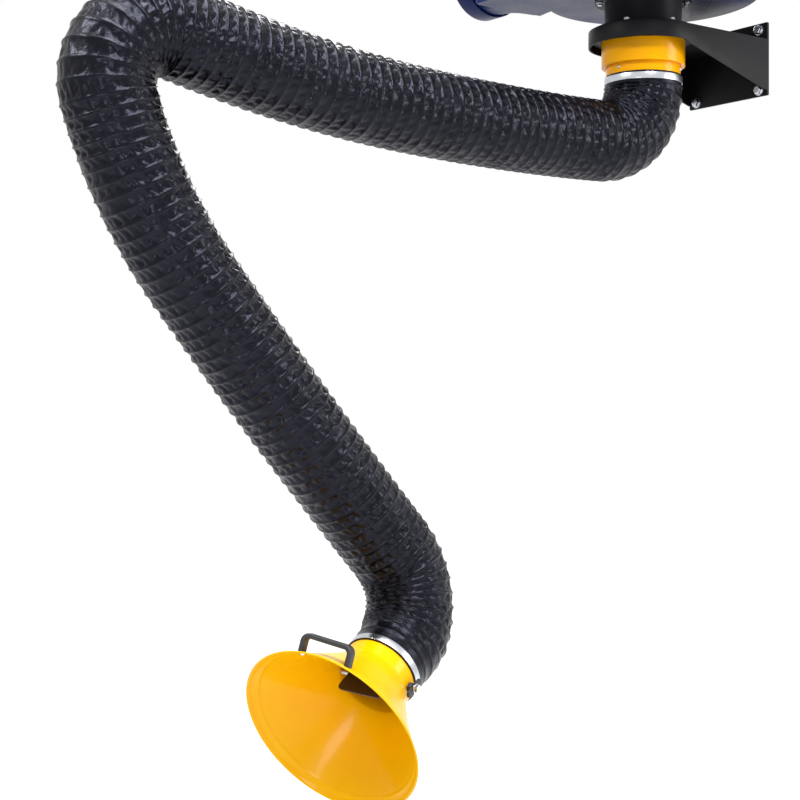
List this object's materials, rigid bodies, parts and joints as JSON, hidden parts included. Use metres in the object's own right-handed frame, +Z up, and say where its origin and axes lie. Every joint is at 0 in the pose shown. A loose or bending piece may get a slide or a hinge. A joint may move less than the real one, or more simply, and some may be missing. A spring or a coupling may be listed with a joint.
{
  "type": "fume extraction arm",
  "caption": "Wall-mounted jointed extraction arm: ribbed hose over an inner support linkage, swivel collar under a blower, and a flared hood with damper and handle.",
  "frame": {"origin": "centre of the wall plate's back face", "axes": "+Z up, +Y into the wall, the arm reaches out along -Y, +X to the right when facing the wall"},
  "size_m": [0.6072, 1.6172, 1.9452],
  "materials": {
    "black_paint": "satin powder coat",
    "yellow_paint": "gloss powder coat",
    "blue_paint": "semi-gloss enamel",
    "grey_paint": "satin enamel",
    "bright_steel": "zinc plated",
    "dark_steel": "oiled steel",
    "link_tube": "drawn tube",
    "black_vinyl": "coated hose",
    "black_plastic": "moulded",
    "white_nylon": "machined",
    "friction_lining": "pressed fibre"
  },
  "bodies": {
    "bracket": {"wall_plate": "black_paint", "bracket_skirt": "black_paint", "bracket_deck": "black_paint", "wall_bolt_1": "bright_steel", "wall_bolt_2": "bright_steel", "wall_bolt_3": "bright_steel", "wall_bolt_4": "bright_steel", "slide_washer": "white_nylon", "retaining_ring": "black_paint", "inlet_spigot": "black_paint", "fan_bottom_plate": "blue_paint", "fan_scroll_wall": "blue_paint", "fan_lid": "blue_paint", "outlet_duct": "blue_paint", "outlet_collar": "blue_paint", "motor_housing": "blue_paint", "motor_cowl": "blue_paint", "terminal_box": "black_plastic", "cable_gland": "black_plastic"},
    "impeller": {"impeller_wheel": "grey_paint", "impeller_hub": "dark_steel", "motor_shaft": "bright_steel"},
    "swivel": {"swivel_collar": "yellow_paint", "duct_sleeve": "yellow_paint", "upper_clamp_band": "bright_steel", "upper_clamp_screw": "bright_steel", "hose_cuff_upper": "black_vinyl", "shoulder_yoke": "dark_steel", "shoulder_pin": "bright_steel", "shoulder_friction_disc": "friction_lining", "hose_shoulder": "black_vinyl"},
    "upper_arm": {"shoulder_knuckle": "dark_steel", "upper_tube": "link_tube", "elbow_clevis": "dark_steel", "elbow_pin": "bright_steel", "elbow_friction_disc": "friction_lining", "hose_upper": "black_vinyl", "hose_elbow": "black_vinyl"},
    "forearm": {"elbow_knuckle": "dark_steel", "forearm_tube": "link_tube", "wrist_socket": "dark_steel", "wrist_lock_screw": "bright_steel", "hose_lower": "black_vinyl", "hose_roll": "black_vinyl"},
    "wrist": {"wrist_spindle": "dark_steel", "tilt_pin": "bright_steel", "tilt_friction_disc": "friction_lining", "hose_wrist": "black_vinyl"},
    "hood": {"hood_bell": "yellow_paint", "hood_spider": "dark_steel", "hood_handle": "black_plastic", "handle_screw_1": "bright_steel", "handle_screw_2": "bright_steel", "lower_clamp_band": "bright_steel", "lower_clamp_screw": "bright_steel", "hose_cuff_lower": "black_vinyl"},
    "damper": {"damper_blade": "black_paint", "damper_shaft": "bright_steel", "damper_lever": "black_plastic", "lever_nut": "bright_steel"}
  },
  "joints": [
    {"name": "impeller_spin", "type": "hinge", "parent": "bracket", "child": "impeller", "pos_m": [0, -0.271, 0.18], "axis": [0, 0, 1], "continuous": true},
    {"name": "swivel", "type": "hinge", "parent": "bracket", "child": "swivel", "pos_m": [0, -0.271, 0], "axis": [0, 0, 1], "range_deg": [-90, 90]},
    {"name": "shoulder", "type": "hinge", "parent": "swivel", "child": "upper_arm", "pos_m": [0, -0.271, -0.20142], "axis": [-1, 0, 0], "range_deg": [-40, 20], "deforming": ["hose_shoulder"]},
    {"name": "elbow", "type": "hinge", "parent": "upper_arm", "child": "forearm", "pos_m": [0, -1.56444, -0.15887], "axis": [-1, 0, 0], "range_deg": [-12, 90], "deforming": ["hose_elbow"]},
    {"name": "wrist_roll", "type": "hinge", "parent": "forearm", "child": "wrist", "pos_m": [0, -0.94172, -1.03271], "axis": [0, 0.6794, -0.7337], "range_deg": [-90, 90], "deforming": ["hose_roll"]},
    {"name": "hood_tilt", "type": "hinge", "parent": "wrist", "child": "hood", "pos_m": [0.00489, -0.86402, -1.14109], "axis": [-0.9593, -0.2072, -0.1918], "range_deg": [-80, 10], "deforming": ["hose_wrist"]},
    {"name": "damper_turn", "type": "hinge", "parent": "hood", "child": "damper", "pos_m": [0.06438, -1.02789, -1.2616], "axis": [0.9197, 0.3773, -0.1083], "range_deg": [0, 90]}
  ]
}
